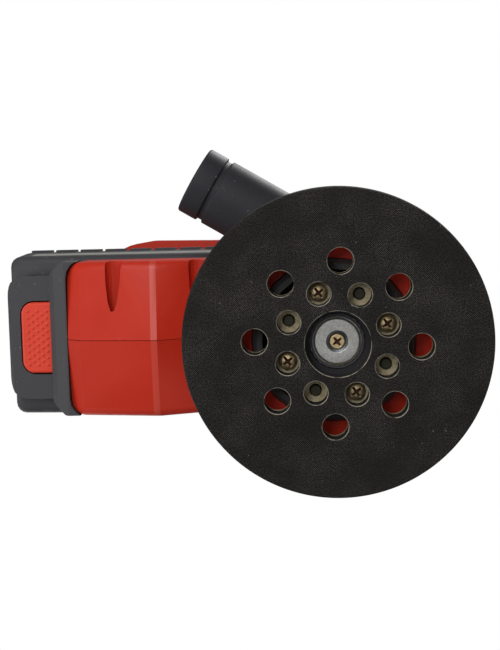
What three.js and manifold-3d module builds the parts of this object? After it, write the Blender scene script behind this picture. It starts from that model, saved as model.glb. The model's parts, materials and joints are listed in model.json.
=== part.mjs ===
// Cordless random-orbit palm sander, standing on its pad.
// Millimetres, +Z up from the sanding face, +X to the front, battery towards -X,
// dust outlet towards -X and -Y. Inside the tool group the pad's axis is x = 0, y = 0.
import * as THREE from 'three';
import { mergeVertices } from 'three/addons/utils/BufferGeometryUtils.js';
import Module from 'manifold-3d';

const wasm = await Module();
wasm.setup();

// ---------------------------------------------------------------- driving dimensions
const GAP = 0.3;                 // clearance between pieces that touch
const ROUND = 32;                // sides of a large round
const SMALL_ROUND = 12;          // sides of a small round

const PAD_RADIUS = 61.5;         // 125 mm class pad
const PAD_TURN = 2.9;            // clocking of the pad at rest, degrees
const DUST_CIRCLE = 32.5;        // eight dust holes, 65 mm circle
const DUST_HOLE = 5.2;
const FIXING_CIRCLE = 21;        // four screws and four pins, 42 mm circle
const FIXING_WELL = 4.75;
const CENTRE_HOLE = 13;
const FACING = { bottom: 0, top: 1.2 };
const FOAM = { bottom: 1.4, top: 9 };
const PLATE = { bottom: 9.2, top: 12.2 };
const CARRIER = { bottom: 12.4, rim: 16, top: 21.4, radius: 26, hub: 14.5 };

const ORBIT = 1.2;               // throw of the eccentric: a 2.4 mm orbit
const MOTOR_X = -ORBIT;          // the motor's axis stands behind the pad's axis
const SHAFT_RADIUS = 4;
const BEARING = { inner: 4.2, outer: 11, height: 7, ring: 2.2 };
const PAD_BEARING_Z = 13;
const LOWER_BEARING_Z = 46.6;
const UPPER_BEARING_Z = 87.4;
const FAN_RADIUS = 38;
const FAN_CHAMBER = { radius: 41.5, bottom: 16, top: 43 };
const MOTOR_CHAMBER = { radius: 26.5, bottom: 54, top: 86 };

const SKIRT_RADIUS = 44;
const COLUMN_RADIUS = 29;
const WALL = 2.5;
const HEAD = { halfWidth: 39, frontRadius: 37.6, rear: -104, bottom: 92, side: 104, top: 128 };
const HEAD_FLOOR = 97;
const GRIP = { bottom: 128.3, top: 137, inset: 5.6, rear: -66 };

const FOOT = { halfWidth: 32.8, rear: -113, corner: 7 };
// Stations along the foot: x, height of the sole, height of the top.
const FOOT_STATIONS = [[-113, 43.5, 75], [-107, 37.6, 74], [-76.6, 31.2, 68], [-73.9, 31, 67],
  [-44, 44, 60], [-20, 45, 57.5]];
// Half of the sole's section: distance from the parting line, rise above the sole.
const FOOT_SECTION = [[0, 0], [29.2, 4.1], [31.2, 4.9], [32.4, 6.3], [FOOT.halfWidth, 8.2]];
const FOOT_HOLLOW = 23;          // half width of the hollow inside the foot
const BATTERY = { rear: -141.5, bottom: 66, tilt: 7, length: 104, height: 49 };
const BATTERY_HALF = { bottom: 34.5, ledge: 35.8, top: 34.6, corner: 4.5 };
const LEDGE = { height: 22, ribReach: 36.6, overhang: 1.3 };  // widest level of the battery
const BATTERY_WALL = 1.3;
const CASE_SPLIT = 20;           // height where the battery's two cases meet
const CELL = { radius: 9, halfLength: 30.8, pitch: 18.1, low: 14.8, high: 33.1 };
const TOWER = { halfWidth: 26.75, depth: 9, rear: 0.6, front: 86 };
const RAIL = { bottom: -6.2, top: -3.4, reach: 2.6 };
const LATCH = { rear: 7.5, front: 21.6, halfWidth: 15.4, proud: 1.6, top: -2, well: 4.4 };

const PORT = { radius: 14.2, bore: 11.8, x: -56.2, y: -65.8, z: 31.2, turn: 30.9 };
const HOUSING_SCREWS = [[-92, 39.9], [-57, 41.4], [22.2, 117.5], [-56, 119], [-91, 118.5]];
const DIAL = { x: -77, z: 120.5, radius: 9.5, halfWidth: 3.4 };
const BUTTON = { halfWidth: 10.6, bottom: 108.4, top: 117.6 };

// ---------------------------------------------------------------- materials
const material = (color, roughness, metalness = 0) =>
  new THREE.MeshStandardMaterial({ color, roughness, metalness });
const RED = material(0xbb3625, 0.45);
const BRIGHT_RED = material(0xd0452f, 0.4);
const DARK_PLASTIC = material(0x4c4a4e, 0.6);
const BLACK_PLASTIC = material(0x2b2a2f, 0.5);
const RUBBER = material(0x35353a, 0.85);
const HOOK_FACING = material(0x2a2726, 0.95);
const FOAM_BLACK = material(0x201e1d, 0.95);
const CREAM = material(0xb9ad95, 0.7);
const STEEL = material(0xa8a8a8, 0.35, 1);
const DARK_STEEL = material(0x6b6e72, 0.4, 1);
const GOLD = material(0xb09560, 0.4, 1);
const COPPER = material(0xb5693a, 0.35, 1);
const BRASS = material(0xb8964e, 0.35, 1);
const ALUMINIUM = material(0x9a9c9f, 0.45, 1);
const GREEN_BOARD = material(0x2c5a3a, 0.5);
const LABEL = material(0xa9a59c, 0.5);
const CELL_WRAP = material(0x3f6f8c, 0.45);

// ---------------------------------------------------------------- shape helpers
// Turns [x, y, radius] corners into points, with each radius as an arc of a few steps.
function outline(corners, steps = 4) {
  const points = [];
  corners.forEach(([x, y, radius = 0], i) => {
    const corner = new THREE.Vector2(x, y);
    if (radius === 0) {
      points.push(corner);
      return;
    }
    const before = corners.at(i - 1);
    const after = corners[(i + 1) % corners.length];
    const back = new THREE.Vector2(before[0] - x, before[1] - y).normalize();
    const ahead = new THREE.Vector2(after[0] - x, after[1] - y).normalize();
    const half = Math.acos(THREE.MathUtils.clamp(back.dot(ahead), -1, 1)) / 2;
    const middle = back.clone().add(ahead).normalize();
    const centre = corner.clone().addScaledVector(middle, radius / Math.sin(half));
    const start = corner.clone().addScaledVector(back, radius / Math.tan(half)).sub(centre);
    const end = corner.clone().addScaledVector(ahead, radius / Math.tan(half)).sub(centre);
    const sweep = Math.atan2(start.cross(end), start.dot(end));
    for (let k = 0; k <= steps; k += 1) {
      const point = start.clone().rotateAround(new THREE.Vector2(), (sweep * k) / steps);
      points.push(point.add(centre));
    }
  });
  return points;
}

const circle = (radius, sides, x = 0, y = 0) =>
  Array.from({ length: sides }, (_, k) => {
    const angle = (2 * Math.PI * k) / sides;
    return new THREE.Vector2(x + radius * Math.cos(angle), y + radius * Math.sin(angle));
  });

// An outline in x and y, raised from one height to another, with optional holes.
function prismZ(points, bottom, top, holes = []) {
  const shape = new THREE.Shape(points);
  shape.holes = holes.map((hole) => new THREE.Path(hole));
  const geometry = new THREE.ExtrudeGeometry(shape, { depth: top - bottom, bevelEnabled: false });
  return geometry.translate(0, 0, bottom);
}

// A side profile in x and z, spread along y.
const prismY = (points, from, to) =>
  prismZ(points, -to, -from).applyMatrix4(
    new THREE.Matrix4().makeBasis(
      new THREE.Vector3(1, 0, 0), new THREE.Vector3(0, 0, 1), new THREE.Vector3(0, -1, 0)));

// A cross-section in y and z, spread along x.
const prismX = (points, from, to) =>
  prismZ(points, from, to).applyMatrix4(
    new THREE.Matrix4().makeBasis(
      new THREE.Vector3(0, 1, 0), new THREE.Vector3(0, 0, 1), new THREE.Vector3(1, 0, 0)));

const box = (x0, x1, y0, y1, z0, z1) =>
  new THREE.BoxGeometry(x1 - x0, y1 - y0, z1 - z0)
    .translate((x0 + x1) / 2, (y0 + y1) / 2, (z0 + z1) / 2);

// A profile of [radius, height] points turned about the z axis.
function lathe(profile, sides = ROUND, x = 0) {
  const points = profile.map(([radius, height]) => new THREE.Vector2(radius, height));
  const open = points[0].x > 0 || points.at(-1).x > 0;
  if (open) points.push(points[0].clone());
  if (THREE.ShapeUtils.area(points) < 0) points.reverse();
  return new THREE.LatheGeometry(points, sides).rotateX(Math.PI / 2).translate(x, 0, 0);
}

const rod = (radius, bottom, top, sides = SMALL_ROUND, x = 0, y = 0) =>
  prismZ(circle(radius, sides, x, y), bottom, top);

const rodY = (radius, from, to, x, z, sides = SMALL_ROUND) =>
  prismY(circle(radius, sides, x, z), from, to);

// Rings of equal length at rising heights, joined and closed at both ends.
function loft(rings) {
  const count = rings[0].length;
  const position = rings.flat().flatMap((point) => [point.x, point.y, point.z]);
  const index = [];
  for (let ring = 0; ring < rings.length - 1; ring += 1) {
    for (let k = 0; k < count; k += 1) {
      const a = ring * count + k;
      const b = ring * count + ((k + 1) % count);
      index.push(a, b, b + count, a, b + count, a + count);
    }
  }
  const last = (rings.length - 1) * count;
  for (const [a, b, c] of THREE.ShapeUtils.triangulateShape(rings[0], [])) {
    index.push(a, c, b, last + a, last + b, last + c);
  }
  const geometry = new THREE.BufferGeometry();
  geometry.setAttribute('position', new THREE.Float32BufferAttribute(position, 3));
  geometry.setIndex(index);
  return geometry;
}

// ---------------------------------------------------------------- solids
function solid(geometry) {
  const bare = geometry.clone();
  bare.deleteAttribute('normal');
  bare.deleteAttribute('uv');
  const merged = mergeVertices(bare, 1e-4);
  const triangles = [];
  for (let i = 0; i < merged.index.count; i += 3) {
    const [a, b, c] = [0, 1, 2].map((k) => merged.index.getX(i + k));
    if (a !== b && b !== c && c !== a) triangles.push(a, b, c);
  }
  return new wasm.Manifold(new wasm.Mesh({
    numProp: 3,
    vertProperties: new Float32Array(merged.attributes.position.array),
    triVerts: new Uint32Array(triangles),
  }));
}

const joined = (...geometries) => geometries.map(solid).reduce((sum, next) => sum.add(next));
const cut = (body, ...geometries) => geometries.map(solid).reduce((sum, next) => sum.subtract(next), body);
const common = (...geometries) => geometries.map(solid).reduce((sum, next) => sum.intersect(next));

function geometryOf(shape) {
  const mesh = shape.getMesh();
  const geometry = new THREE.BufferGeometry();
  geometry.setAttribute('position', new THREE.BufferAttribute(mesh.vertProperties, 3));
  geometry.setIndex(new THREE.BufferAttribute(mesh.triVerts, 1));
  return geometry;
}

function piece(group, name, shape, look) {
  const geometry = shape.isBufferGeometry ? geometryOf(solid(shape)) : geometryOf(shape);
  const mesh = new THREE.Mesh(geometry, look);
  mesh.name = name;
  group.add(mesh);
}

// ---------------------------------------------------------------- battery frame
// Battery pieces are drawn with x forward from the rear end and z up from the rail side.
const batteryFrame = new THREE.Matrix4()
  .makeRotationY(THREE.MathUtils.degToRad(BATTERY.tilt))
  .setPosition(BATTERY.rear, 0, BATTERY.bottom);
const inBattery = (geometry) => geometry.applyMatrix4(batteryFrame);

// ---------------------------------------------------------------- pad
function fixingPoints(firstDegrees) {
  return [0, 90, 180, 270].map((turn) => {
    const angle = THREE.MathUtils.degToRad(firstDegrees + turn);
    return [FIXING_CIRCLE * Math.cos(angle), FIXING_CIRCLE * Math.sin(angle)];
  });
}
const screwPoints = fixingPoints(-22.5);
const pinPoints = fixingPoints(22.5);

function dustHoles() {
  return Array.from({ length: 8 }, (_, k) => {
    const angle = (k * Math.PI) / 4;
    return circle(DUST_HOLE, SMALL_ROUND, DUST_CIRCLE * Math.cos(angle), DUST_CIRCLE * Math.sin(angle));
  });
}

function padDisc(radius, { bottom, top }, screwHole, pinHole) {
  const holes = [
    circle(CENTRE_HOLE, 24),
    ...dustHoles(),
    ...screwPoints.map(([x, y]) => circle(screwHole, 8, x, y)),
    ...pinPoints.map(([x, y]) => circle(pinHole, 8, x, y)),
  ];
  return prismZ(circle(radius, 48), bottom, top, holes);
}

function padCarrier() {
  const { bottom, rim, top, radius, hub } = CARRIER;
  const seat = BEARING.outer + 0.2;
  const lip = PAD_BEARING_Z + BEARING.height + GAP;
  const body = solid(lathe([[seat, bottom], [radius, bottom], [radius, rim], [hub, rim], [hub, top],
    [seat - 2, top], [seat - 2, lip], [seat, lip]]));
  const pins = pinPoints.map(([x, y]) => rod(2.1, bottom - 4.6, rim, 8, x, y));
  const screwHoles = screwPoints.map(([x, y]) => rod(1.9, bottom - 1, rim + 1, 8, x, y));
  return cut(body.add(joined(...pins)), ...screwHoles);
}

function crossScrew(x, y, headBottom, headRadius, shankRadius, length) {
  const body = solid(lathe([[0, headBottom], [headRadius * 0.75, headBottom],
    [headRadius, headBottom + 0.7], [headRadius, headBottom + 1.7], [shankRadius, headBottom + 1.9],
    [shankRadius, headBottom + length], [0, headBottom + length]], SMALL_ROUND));
  const reach = headRadius * 0.62;
  const cross = [box(-reach, reach, -0.4, 0.4, headBottom - 1, headBottom + 1),
    box(-0.4, 0.4, -reach, reach, headBottom - 1, headBottom + 1)];
  return cut(body, ...cross).translate([x, y, 0]);
}

function addBearing(group, name, bottom, x, bore = BEARING.inner, outer = BEARING.outer) {
  const { height, ring } = BEARING;
  const rings = { outer: [outer - ring, outer], inner: [bore, bore + ring] };
  for (const [side, [low, high]] of Object.entries(rings)) {
    const profile = [[low, bottom], [high, bottom], [high, bottom + height], [low, bottom + height]];
    piece(group, `${name}_${side}_ring`, lathe(profile, 20, x), STEEL);
  }
}

function buildPad(tool) {
  const pad = new THREE.Group();
  pad.rotation.z = THREE.MathUtils.degToRad(PAD_TURN);
  piece(pad, 'pad_hook_facing', padDisc(PAD_RADIUS - 0.5, FACING, FIXING_WELL, FIXING_WELL), HOOK_FACING);
  piece(pad, 'pad_foam', padDisc(PAD_RADIUS, FOAM, FIXING_WELL, FIXING_WELL), FOAM_BLACK);
  piece(pad, 'pad_backing_plate', padDisc(PAD_RADIUS - 2.5, PLATE, 2.2, 2.5), CREAM);
  piece(pad, 'pad_carrier', padCarrier(), BLACK_PLASTIC);
  screwPoints.forEach(([x, y], i) => {
    piece(pad, `pad_screw_${i + 1}`, crossScrew(x, y, PLATE.bottom - 2.1, 3.65, 1.6, 8), GOLD);
  });
  addBearing(pad, 'pad_bearing', PAD_BEARING_Z, 0);
  const seal = [[9.9, PAD_BEARING_Z - 0.9], [10.9, PAD_BEARING_Z - 0.9], [10.9, PAD_BEARING_Z - 0.1],
    [9.9, PAD_BEARING_Z - 0.1]];
  piece(pad, 'pad_bearing_seal', lathe(seal, 24), RUBBER);
  const washerTop = PAD_BEARING_Z - GAP;
  const washerBottom = washerTop - 1.6;
  const washer = solid(lathe([[2.3, washerBottom + 1], [4.4, washerBottom], [8.8, washerBottom],
    [9.5, washerBottom + 0.5], [9.5, washerBottom + 1.1], [6, washerBottom + 1.1], [6, washerTop],
    [2.3, washerTop]], 24));
  piece(pad, 'retaining_washer', washer, STEEL);
  const head = washerBottom - 0.1;
  const screw = solid(lathe([[0, head], [3.1, head], [3.1, head + 0.4], [1.95, head + 1.3],
    [1.95, head + 10], [0, head + 10]], SMALL_ROUND));
  const recess = [box(-1.7, 1.7, -0.35, 0.35, head - 1, head + 1), box(-0.35, 0.35, -1.7, 1.7, head - 1, head + 1)];
  piece(pad, 'centre_screw', cut(screw, ...recess), GOLD);
  tool.add(pad);
}

// ---------------------------------------------------------------- motor, fan and shaft
const SHAFT = { flangeBottom: 21.8, flangeTop: 24, top: 95.4 };
const FAN_BLADES = 7;

function motorShaft() {
  const pin = rod(SHAFT_RADIUS, PAD_BEARING_Z, SHAFT.flangeTop, 20);
  const flange = rod(7, SHAFT.flangeBottom, SHAFT.flangeTop, 20, MOTOR_X);
  const shaft = rod(SHAFT_RADIUS, SHAFT.flangeTop - 1, SHAFT.top, 20, MOTOR_X);
  const thread = rod(2.2, PAD_BEARING_Z - 1, PAD_BEARING_Z + 9, 12);
  return cut(joined(pin, flange, shaft), thread);
}

function fanImpeller() {
  const bore = BEARING.inner;
  const body = solid(lathe([[bore, 29.4], [9, 29.4], [9, 30], [FAN_RADIUS, 30], [FAN_RADIUS, 31.6],
    [9, 31.6], [9, 35], [bore, 35]], ROUND, MOTOR_X));
  const blades = [];
  for (let k = 0; k < FAN_BLADES; k += 1) {
    const turn = (2 * Math.PI * k) / FAN_BLADES;
    const low = box(26.5, 37.5, -0.7, 0.7, 20.6, 30.4).rotateZ(turn).translate(MOTOR_X, 0, 0);
    const high = box(24, 37.5, -0.6, 0.6, 31.4, 38).rotateZ(turn + 0.3).translate(MOTOR_X, 0, 0);
    blades.push(low, high);
  }
  return body.add(joined(...blades));
}

function counterweight() {
  const sector = new THREE.Shape();
  sector.absarc(0, 0, 23.5, THREE.MathUtils.degToRad(105), THREE.MathUtils.degToRad(255), false);
  sector.absarc(0, 0, 8.5, THREE.MathUtils.degToRad(255), THREE.MathUtils.degToRad(465), false);
  const plate = prismZ(sector.getPoints(8).slice(0, -1), 24.4, 28.8).translate(MOTOR_X, 0, 0);
  return cut(solid(plate), rod(BEARING.inner, 24, 29.4, 16, MOTOR_X));
}

function statorCore() {
  const ring = solid(lathe([[14, 61], [26, 61], [26, 78], [14, 78]], 24, MOTOR_X));
  const slots = [];
  for (let k = 0; k < 6; k += 1) {
    const turn = (Math.PI * k) / 3;
    slots.push(box(16.5, 22.5, -3.4, 3.4, 60, 79).rotateZ(turn).translate(MOTOR_X, 0, 0));
    slots.push(box(13, 17, -0.8, 0.8, 60, 79).rotateZ(turn).translate(MOTOR_X, 0, 0));
  }
  return cut(ring, ...slots);
}

function buildMotor(tool) {
  piece(tool, 'motor_shaft', motorShaft(), STEEL);
  piece(tool, 'fan_impeller', fanImpeller(), BLACK_PLASTIC);
  piece(tool, 'counterweight', counterweight(), DARK_STEEL);
  piece(tool, 'stator_core', statorCore(), DARK_STEEL);
  const winding = (low, high) =>
    lathe([[15.5, low], [21, low], [24, low + 1.5], [24, high - 1.5], [21, high], [15.5, high]], 20, MOTOR_X);
  piece(tool, 'upper_winding', winding(78.4, 84.4), COPPER);
  piece(tool, 'lower_winding', winding(55, 60.6), COPPER);
  const rotor = [[BEARING.inner, 57], [13, 57], [13, 81], [BEARING.inner, 81]];
  piece(tool, 'rotor_magnet', lathe(rotor, 20, MOTOR_X), DARK_STEEL);
  addBearing(tool, 'lower_bearing', LOWER_BEARING_Z, MOTOR_X);
  addBearing(tool, 'upper_bearing', UPPER_BEARING_Z, MOTOR_X);
}

// ---------------------------------------------------------------- housing
// The head in plan, drawn in from its widest line by the inset.
function headOutline(inset, rear = HEAD.rear) {
  const side = HEAD.halfWidth - inset;
  const radius = HEAD.frontRadius - inset;
  const back = rear + inset;
  const corners = [[MOTOR_X, radius], [back + 22, side, 20], [back + 9, side - 2, 16], [back, side - 9, 7],
    [back, 9 - side, 7], [back + 9, 2 - side, 16], [back + 22, -side, 20], [MOTOR_X, -radius]];
  const points = outline(corners, 3).slice(1, -1);
  for (let k = 0; k <= 14; k += 1) {
    const angle = -Math.PI / 2 + (Math.PI * k) / 14;
    points.push(new THREE.Vector2(MOTOR_X + radius * Math.cos(angle), radius * Math.sin(angle)));
  }
  return points;
}

const stack = (plan, levels) =>
  loft(levels.map(([z, inset]) => plan(inset).map((point) => new THREE.Vector3(point.x, point.y, z))));

const headLevels = [[HEAD.bottom, 9], [98, 3.2], [HEAD.side, 0], [116, 0], [121, 0.9], [125, 2.8], [HEAD.top, 6]];

function footSolid() {
  const { halfWidth, rear, corner } = FOOT;
  const rings = FOOT_STATIONS.map(([x, low, top]) => {
    const right = [...FOOT_SECTION.map(([y, rise]) => [y, low + rise]), [halfWidth, top]];
    const left = right.slice(1).reverse().map(([y, z]) => [-y, z]);
    return [...right, ...left].map(([y, z]) => new THREE.Vector3(y, z, x));
  });
  const body = loft(rings).applyMatrix4(
    new THREE.Matrix4().makeBasis(
      new THREE.Vector3(0, 1, 0), new THREE.Vector3(0, 0, 1), new THREE.Vector3(1, 0, 0)));
  const plan = outline([[rear, halfWidth, corner], [rear, -halfWidth, corner], [0, -halfWidth], [0, halfWidth]]);
  return common(body, prismZ(plan, 20, 80));
}

function housingCavity() {
  const { radius, bottom, top } = FAN_CHAMBER;
  const motor = MOTOR_CHAMBER;
  const seat = BEARING.outer + GAP;
  const column = lathe([[0, bottom - 1], [radius, bottom - 1], [radius, top - 1.5], [radius - 3, top],
    [7.5, top], [7.5, LOWER_BEARING_Z - GAP], [seat, LOWER_BEARING_Z - GAP], [seat, motor.bottom],
    [motor.radius, motor.bottom], [motor.radius, motor.top], [9, motor.top],
    [9, UPPER_BEARING_Z - GAP], [seat, UPPER_BEARING_Z - GAP], [seat, HEAD_FLOOR], [0, HEAD_FLOOR]],
  ROUND, MOTOR_X);
  const head = stack((inset) => headOutline(inset + WALL), [[HEAD_FLOOR - 0.5, 3.4], [HEAD.side, 0], [116, 0],
    [121, 1], [HEAD.top - WALL, 3.4]]);
  const footSide = outline([[-108, 47.5], [-104, 43.5], [-76, 37.2], [-66, 40.8], [-66, 45], [-108, 50.4]]);
  const foot = prismY(footSide, -FOOT_HOLLOW, FOOT_HOLLOW);
  const bayWalls = inBattery(box(-40, BATTERY.length + 3.4, -50, 50, 0, BATTERY.height + 2.8));
  return cut(joined(column, head), bayWalls).add(solid(foot));
}

// The space the battery slides through, with the channel for its rail tower.
function batteryBay() {
  const { length, height } = BATTERY;
  const slab = box(-30, length + 1.2, -50, 50, -0.4, height + 0.6);
  const channel = TOWER.halfWidth + 0.5;
  const tower = box(-30, 92, -channel, channel, -TOWER.depth - 0.6, 0.5);
  const space = joined(inBattery(slab), inBattery(tower));
  const tongues = [-1, 1].map((side) => {
    const wall = side * (channel + 0.5);
    const tip = side * (channel - RAIL.reach);
    return inBattery(box(14, 84, Math.min(wall, tip), Math.max(wall, tip), RAIL.bottom, RAIL.top));
  });
  return cut(space, ...tongues);
}

function portDirection() {
  const turn = THREE.MathUtils.degToRad(PORT.turn);
  return new THREE.Vector3(Math.cos(turn), Math.sin(turn), 0);
}

// A round profile of [radius, distance inwards from the mouth], laid along the outlet.
function alongPort(profile, sides = 28) {
  const frame = new THREE.Matrix4().makeRotationFromQuaternion(
    new THREE.Quaternion().setFromUnitVectors(new THREE.Vector3(0, 0, 1), portDirection()));
  return lathe(profile, sides).applyMatrix4(frame.setPosition(PORT.x, PORT.y, PORT.z));
}

function screwBosses() {
  return HOUSING_SCREWS.map(([x, z]) => rodY(4.6, -36, 36, x, z, 10));
}

function housingBody() {
  const skirt = lathe([[0, FAN_CHAMBER.bottom], [SKIRT_RADIUS, FAN_CHAMBER.bottom], [SKIRT_RADIUS, 40],
    [41, 45.4], [33, 48], [COLUMN_RADIUS, 53], [COLUMN_RADIUS, HEAD.bottom + 2], [0, HEAD.bottom + 2]],
  ROUND, MOTOR_X);
  const outer = joined(skirt, stack(headOutline, headLevels)).add(footSolid());
  const inside = housingCavity();
  const bosses = joined(...screwBosses()).intersect(outer);
  const dialCheeks = [[-7.4, -4.2], [4.2, 7.4]].map(([y0, y1]) =>
    box(DIAL.x - 3, DIAL.x + 3, y0, y1, DIAL.z - 3, HEAD.top - 1));
  let body = outer.subtract(inside).add(bosses).add(joined(...dialCheeks));
  body = body.subtract(batteryBay());
  const channels = HOUSING_SCREWS.flatMap(([x, z]) => [
    rodY(3.75, -45, -9, x, z, 16), rodY(1.85, -10, 7, x, z, 8)]);
  const vents = [];
  for (const side of [-1, 1]) {
    for (const z of [62, 68, 74]) vents.push(box(6, 20, side > 0 ? 16 : -34, side > 0 ? 34 : -16, z, z + 2.6));
  }
  const dialSlot = box(DIAL.x - 9.8, DIAL.x + 9.8, -4, 4, DIAL.z - 6, HEAD.top + 2);
  const dialAxle = rodY(1.8, -6.4, 6.4, DIAL.x, DIAL.z, 10);
  const buttonSlot = box(28, 45, -BUTTON.halfWidth - GAP, BUTTON.halfWidth + GAP,
    BUTTON.bottom - GAP, BUTTON.top + GAP);
  const outlet = alongPort([[0, 20], [PORT.bore, 20], [PORT.bore, 76], [0, 76]], 20);
  return cut(body, ...channels, ...vents, dialSlot, dialAxle, buttonSlot, outlet);
}

function buildHousing(tool) {
  const housing = housingBody();
  const sides = { right_housing: box(-160, 80, -90, -0.12, 0, 160), left_housing: box(-160, 80, 0.12, 90, 0, 160) };
  for (const [name, side] of Object.entries(sides)) piece(tool, name, housing.intersect(solid(side)), RED);
  HOUSING_SCREWS.forEach(([x, z], i) => {
    const screw = crossScrew(0, 0, 0, 2.9, 1.45, 17).rotate([-90, 0, 0]).translate([x, -11.2, z]);
    piece(tool, `housing_screw_${i + 1}`, screw, DARK_STEEL);
  });
  const shroud = [[33, 17.4], [FAN_CHAMBER.radius - GAP, 17.4], [FAN_CHAMBER.radius - GAP, 19], [33, 19]];
  piece(tool, 'fan_shroud_ring', lathe(shroud, ROUND, MOTOR_X), RED);
  const brake = [[28.6, 12.7], [31, 12.7], [32.7, 16], [32.7, 19], [28.6, 19]];
  piece(tool, 'pad_brake_ring', lathe(brake, ROUND, MOTOR_X), RUBBER);
}

// ---------------------------------------------------------------- outer fittings
function dustPort() {
  const { radius, bore } = PORT;
  const tube = alongPort([[bore, 0], [radius - 0.4, 0], [radius, 0.5], [radius, 8.4], [radius - 1.1, 8.8],
    [radius - 1.1, 10.4], [radius, 10.8], [radius, 74], [bore, 74]]);
  const skirt = rod(SKIRT_RADIUS + GAP, 0, 40.2, 40, MOTOR_X);
  const shoulder = lathe([[0, 40], [SKIRT_RADIUS + GAP, 40], [41 + GAP, 45.8], [33, 48.6], [0, 48.6]], 40, MOTOR_X);
  return cut(solid(tube), skirt, shoulder);
}

function palmGrip() {
  const plan = (inset) => headOutline(inset + GRIP.inset, GRIP.rear - GRIP.inset);
  return stack(plan, [[GRIP.bottom, 0.4], [130.6, 0], [133, 1.6], [135, 5], [136.4, 10], [GRIP.top, 17]]);
}

function rearBumper() {
  const { rear, halfWidth, corner } = FOOT;
  const outer = [[rear + 6, -halfWidth], [rear - 2.6, -halfWidth, 2], [rear - 8.5, -halfWidth + 5.5, 3],
    [rear - 8.5, halfWidth - 5.5, 3], [rear - 2.6, halfWidth, 2], [rear + 6, halfWidth]];
  const plan = prismZ(outline(outer, 3), 40, 70);
  const side = outline([[rear + 6, 44], [rear - 1, 44], [rear - 6, 47], [rear - 8.5, 50.2],
    [rear - 8.5, 60.6], [rear + 6, 60.6]]);
  const block = common(plan, prismY(side, -40, 40));
  const foot = prismZ(outline([[rear - GAP, halfWidth + 1, corner + 1], [rear - GAP, -halfWidth - 1, corner + 1],
    [0, -halfWidth - 1], [0, halfWidth + 1]]), 30, 80);
  const channel = TOWER.halfWidth + 0.5;
  const bay = inBattery(box(-30, 60, -channel, channel, -TOWER.depth - 2, 5));
  const slab = inBattery(box(-30, 60, -50, 50, -0.5, 20));
  return cut(block, foot, bay, slab);
}

function speedDial() {
  const { x, z, radius, halfWidth } = DIAL;
  const knurl = Array.from({ length: 40 }, (_, k) => {
    const angle = (2 * Math.PI * k) / 40;
    const r = k % 2 ? radius : radius - 0.5;
    return new THREE.Vector2(x + r * Math.cos(angle), z + r * Math.sin(angle));
  });
  return joined(prismY(knurl, -halfWidth, halfWidth), rodY(1.45, -6, 6, x, z, 10));
}

function powerButton() {
  const { halfWidth, bottom, top } = BUTTON;
  const face = lathe([[0, bottom], [HEAD.frontRadius + 1.4, bottom], [HEAD.frontRadius + 1.4, top], [0, top]],
    72, MOTOR_X);
  const cap = common(face, box(29.6, 45, -halfWidth, halfWidth, bottom, top));
  return cap.add(solid(box(29, 30.6, -halfWidth - 1.6, halfWidth + 1.6, bottom - 1.4, top + 1.4)));
}

function buildFittings(tool) {
  piece(tool, 'dust_port', dustPort(), BLACK_PLASTIC);
  piece(tool, 'palm_grip', palmGrip(), RUBBER);
  piece(tool, 'rear_bumper', rearBumper(), RUBBER);
  piece(tool, 'speed_dial', speedDial(), BLACK_PLASTIC);
  piece(tool, 'power_button', powerButton(), BLACK_PLASTIC);
  piece(tool, 'switch_module', box(5, 26.8, -9, 9, HEAD_FLOOR + GAP, 111.6), BLACK_PLASTIC);
  piece(tool, 'controller_board', box(-50, -12, -22, 22, 108.6, 110.2), GREEN_BOARD);
  const block = joined(box(87.6, 91.4, -20, 20, -8.6, -1.6), box(80, 88, -12, -11, -7, -3), box(80, 88, 11, 12, -7, -3));
  const terminal = new THREE.Group();
  terminal.applyMatrix4(batteryFrame);
  piece(terminal, 'terminal_block', block, BRASS);
  tool.add(terminal);
}

// ---------------------------------------------------------------- battery
function batteryPlan(inset, corner) {
  const { length } = BATTERY;
  const half = BATTERY_HALF.ledge - inset;
  const rear = inset - LEDGE.overhang;
  return outline([[rear, -half, corner], [length - inset, -half, corner], [length - inset, half, corner],
    [rear, half, corner]]);
}

// How far the wall stands in from the ledge at a height.
const draft = (z) => (z < LEDGE.height
  ? THREE.MathUtils.mapLinear(z, 0, LEDGE.height, BATTERY_HALF.ledge - BATTERY_HALF.bottom, 0)
  : THREE.MathUtils.mapLinear(z, LEDGE.height, BATTERY.height, 0, BATTERY_HALF.ledge - BATTERY_HALF.top));
const batteryLevel = (z, extra = 0, corner = BATTERY_HALF.corner) =>
  batteryPlan(draft(z) + extra, corner).map((point) => new THREE.Vector3(point.x, point.y, z));
const innerLevel = (z, extra = BATTERY_WALL) => batteryLevel(z, extra, BATTERY_HALF.corner - 2);

function towerSolid() {
  const { halfWidth, depth, rear, front } = TOWER;
  const plan = prismZ(outline([[rear, -halfWidth, 9], [front, -halfWidth], [front, halfWidth], [rear, halfWidth, 9]], 6),
    -depth, 2);
  const side = prismY(outline([[rear, 2], [rear, -depth + 3], [rear + 2.4, -depth], [front, -depth], [front, 2]]), -40, 40);
  return common(plan, side);
}

function latchWell(clearance) {
  const { rear, front, halfWidth } = LATCH;
  return outline([[rear - clearance, -halfWidth - clearance, 6], [front + clearance, -halfWidth - clearance],
    [front + clearance, halfWidth + clearance], [rear - clearance, halfWidth + clearance, 6]]);
}

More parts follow.
